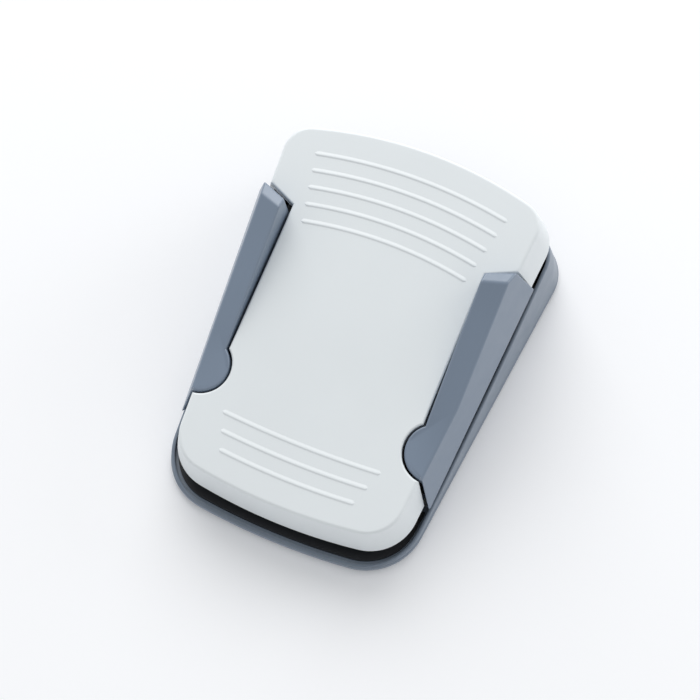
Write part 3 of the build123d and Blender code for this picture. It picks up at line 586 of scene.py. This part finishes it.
def prism(plan, low, high):
    bm = bmesh.new()
    bottom = [bm.verts.new((x, y, low)) for x, y in plan]
    top = [bm.verts.new((x, y, high)) for x, y in plan]
    count = len(plan)
    bm.faces.new(top)
    bm.faces.new(bottom[::-1])
    for i in range(count):
        j = (i + 1) % count
        bm.faces.new((bottom[i], bottom[j], top[j], top[i]))
    return bm


def add_to(bm, other):
    """Moves another bmesh's geometry into this one and welds where they meet."""
    scrap = bpy.data.meshes.new("scrap")
    other.to_mesh(scrap)
    other.free()
    bm.from_mesh(scrap)
    bpy.data.meshes.remove(scrap)
    bmesh.ops.remove_doubles(bm, verts=bm.verts[:], dist=1e-3)


def round_edges(bm, radius, sharper_than):
    """Rounds the outward edges that turn by more than an angle."""
    bmesh.ops.recalc_face_normals(bm, faces=bm.faces[:])
    edges = [edge for edge in bm.edges
             if len(edge.link_faces) == 2 and edge.is_convex and edge.calc_face_angle() > sharper_than]
    bmesh.ops.bevel(bm, geom=edges, offset=radius, offset_type="OFFSET", segments=4, profile=0.5,
                    affect="EDGES", clamp_overlap=False)


def lever(side, name):
    """The right lever in the treadle's own frame, hollow below, then placed, or mirrored for the left."""
    a, b, c = LEVER_TOP
    arm_normal = Vector((-b, -c, 1)).normalized()
    # the arm's slope and the lobe's flat top meet on this line
    crease = Vector((b, c, 0)).normalized()
    crease_point = Vector((LEVER_INNER, (-LEVER_SUNK - a - b * LEVER_INNER) / c, 0))
    across = Vector(BEVEL_OUTER) - Vector(BEVEL_INNER)
    down = Vector((-across.y, across.x, 0)).normalized() - Vector((0, 0, BEVEL_DROP))
    bevel_normal = across.cross(down).normalized()
    flare = math.atan(LEVER_SIDE[1])
    wall_point = Vector((LEVER_SIDE[0], 0, 0))
    wall_normal = Vector((math.cos(LEVER_DRAFT) * math.cos(flare), -math.cos(LEVER_DRAFT) * math.sin(flare),
                          math.sin(LEVER_DRAFT)))
    along, up, rest = rising_plane(LEVER_LOW, LEVER_RISE)

    bm = prism(lever_plan(), BLANK_LOW, BLANK_HIGH)
    cut(bm, crease_point, -crease)
    cut_closed(bm, (0, 0, a), arm_normal)
    cut_closed(bm, BEVEL_INNER, bevel_normal)
    heel_part = prism(lever_plan(), BLANK_LOW, BLANK_HIGH)
    cut(heel_part, crease_point, crease)
    cut_closed(heel_part, (0, 0, -LEVER_SUNK), (0, 0, 1))
    add_to(bm, heel_part)
    cut_closed(bm, wall_point, wall_normal)
    cut_closed(bm, (0, 0, -rest / up), (0, -along, -up))
    round_edges(bm, LEVER_ROUND, LEVER_SHARP)
    obj = bmesh_object(name, bm)

    hollow = prism(HOLLOW_PLAN, HOLLOW_LOW, -LEVER_UNDERSIDE)
    cut_closed(hollow, wall_point - wall_normal * LEVER_WALL, wall_normal)
    bmesh.ops.recalc_face_normals(hollow, faces=hollow.faces[:])
    subtract(obj, bmesh_object("hollow", hollow))
    for vertex in obj.data.vertices:
        x, y, z = vertex.co
        vertex.co = from_plate(side * x, y, z)
    return tidy_normals(obj, angle=32)


for side, word in ((1, "right"), (-1, "left")):
    dress(lever(side, f"lever_{word}_visual"), blue, f"{word}_lever", "blue_plastic", f"lever_{word}")


# ---- base -------------------------------------------------------------------------------------------
def base_tray_piece():
    """The bottom tray with its low rim."""
    loop = outline(BASE)
    profile = [(growth, TRAY_BOTTOM + height) for growth, height in TRAY_FOOT]
    profile += [(-inward, RIM_HEIGHT - down)
                for inward, down in rounded(RIM_ROUND, (0, 22.5, 45, 67.5, 90))]
    profile += [(-RIM_WALL + RIM_BREAK, RIM_HEIGHT), (-RIM_WALL, RIM_HEIGHT - RIM_BREAK),
                (-RIM_WALL, TRAY_BOTTOM + TRAY_FLOOR)]
    rings = [[Vector((x + nx * growth, y + ny * growth, z)) * MM for x, y, nx, ny in loop]
             for growth, z in profile]
    return tidy_normals(loft("base_tray_visual", rings))


def base_wall_section(foot, top, foot_inward, top_inward):
    """The wedge wall in one upright plane: up the outside, over the lip and down the inside."""
    rise_left = BODY_LOFT_TOP - RIM_HEIGHT - BODY_EDGE_RISE * (top.y - foot.y)
    share = max(BODY_EDGE_RISE * (foot.y - BODY_EDGE_HEEL[0]) / rise_left, BODY_LEAST)
    edge = foot.lerp(top, share)
    inward = foot_inward.lerp(top_inward, share).normalized()
    downward = (foot - top).normalized()
    lip = min(BODY_LIP, (edge - foot).length * 0.8)
    points = [foot, foot.lerp(edge, 0.33), foot.lerp(edge, 0.66)]
    points += [edge + downward * down + inward * across for across, down in rounded(lip, (0, 30, 60, 90))]
    points += [edge + downward * down + inward * (BODY_WALL - across)
               for across, down in rounded(lip, (90, 45, 0))]
    inner_foot = foot + inward * BODY_WALL
    last = points[-1]
    points += [last.lerp(inner_foot, 0.33), last.lerp(inner_foot, 0.66), inner_foot]
    return [point * MM for point in points]


def base_wall():
    """The wedge wall under the skirt, a closed band that tapers from the tray's rim to BODY_TOP."""
    sections = []
    for (lx, ly, lnx, lny), (hx, hy, hnx, hny) in zip(outline(BASE), outline(BODY_TOP)):
        foot = Vector((lx - lnx * BODY_INSET, ly - lny * BODY_INSET, RIM_HEIGHT))
        sections.append(base_wall_section(foot, Vector((hx, hy, BODY_LOFT_TOP)), Vector((-lnx, -lny, 0)),
                                          Vector((-hnx, -hny, 0))))
    rings = [list(ring) for ring in zip(*sections)]
    return tidy_normals(loft("base_body_visual", rings, closed=True), weighted=False)


def inlet_bar(radius, start, stop):
    """A cylinder along Y on the lead inlet's axis."""
    return round_bar(radius, (start, stop), lambda y, across, up: Vector((across, y, INLET_Z + up)) * MM)


dress(base_tray_piece(), body_blue, "base", "blue_plastic", "base_tray")
wall = base_wall()
subtract(wall, inlet_bar(INLET_RECESS, INLET_PAD, INLET_PAD + INLET_RECESS_DEPTH))
subtract(wall, inlet_bar(INLET_BORE, *INLET_BORE_SPAN))
boss = inlet_bar(INLET_BOSS, INLET_BOSS_START, INLET_PAD)
subtract(boss, inlet_bar(INLET_BORE, *INLET_BORE_SPAN))
body = tidy_normals(joined("base_body_visual", [wall, boss]))
dress(body, body_blue, "base", "blue_plastic", "base_body")


# ---- floor, lights and camera -----------------------------------------------------------------------
FLOOR_REACH = 6.0
FLOOR_GLOW = 0.10
WORLD_STRENGTH = 0.56
CAMERA_PLACE = (0.1223, -0.2974, 0.6447)
CAMERA_BACK = (0.1777, -0.4146, 0.8925)  # from what the camera looks at towards the camera
CAMERA_LENS = 74.67

corners = [(x * FLOOR_REACH, y * FLOOR_REACH, 0) for x, y in ((-1, -1), (1, -1), (1, 1), (-1, 1))]
floor = mesh_object("floor", corners, [(0, 1, 2, 3)])
floor_material = finish_material("pale_floor", (0.90, 0.905, 0.92, 1), 0.9, variation=0.0, spread=0.02,
                                 grain_height=0.0, specular=0.1)
floor_shader = floor_material.node_tree.nodes["Principled BSDF"]
floor_shader.inputs["Emission Color"].default_value = (0.98, 0.985, 1.0, 1)
floor_shader.inputs["Emission Strength"].default_value = FLOOR_GLOW
floor.data.materials.append(floor_material)

scene = bpy.context.scene
world = bpy.data.worlds.new("studio")
scene.world = world
world.use_nodes = True
sky = world.node_tree.nodes["Background"]
sky.inputs["Color"].default_value = (0.97, 0.985, 1.0, 1)
sky.inputs["Strength"].default_value = WORLD_STRENGTH


def area_light(name, position, target, size, power):
    """A round area light, in metres and watts, aimed at a point."""
    data = bpy.data.lights.new(name, "AREA")
    data.shape = "DISK"
    data.size = size
    data.energy = power
    light = bpy.data.objects.new(name, data)
    scene.collection.objects.link(light)
    light.location = position
    light.rotation_euler = (Vector(target) - Vector(position)).to_track_quat("-Z", "Y").to_euler()


area_light("key", (-1.0, 2.2, 2.15), (0, 0, 0), 3.4, 76)
area_light("side_fill", (1.35, 1.4, 0.65), (0, 0, 0.03), 1.2, 6)

camera_data = bpy.data.cameras.new("camera")
camera_data.sensor_width = 36.0
camera_data.lens = CAMERA_LENS
camera_data.clip_start = 0.01
camera = bpy.data.objects.new("camera", camera_data)
scene.collection.objects.link(camera)
back = Vector(CAMERA_BACK).normalized()
right = Vector((0, 0, 1)).cross(back).normalized()
up = back.cross(right)
camera.matrix_world = Matrix.Translation(CAMERA_PLACE) @ Matrix((right, up, back)).transposed().to_4x4()
scene.camera = camera
scene.view_settings.view_transform = "Standard"
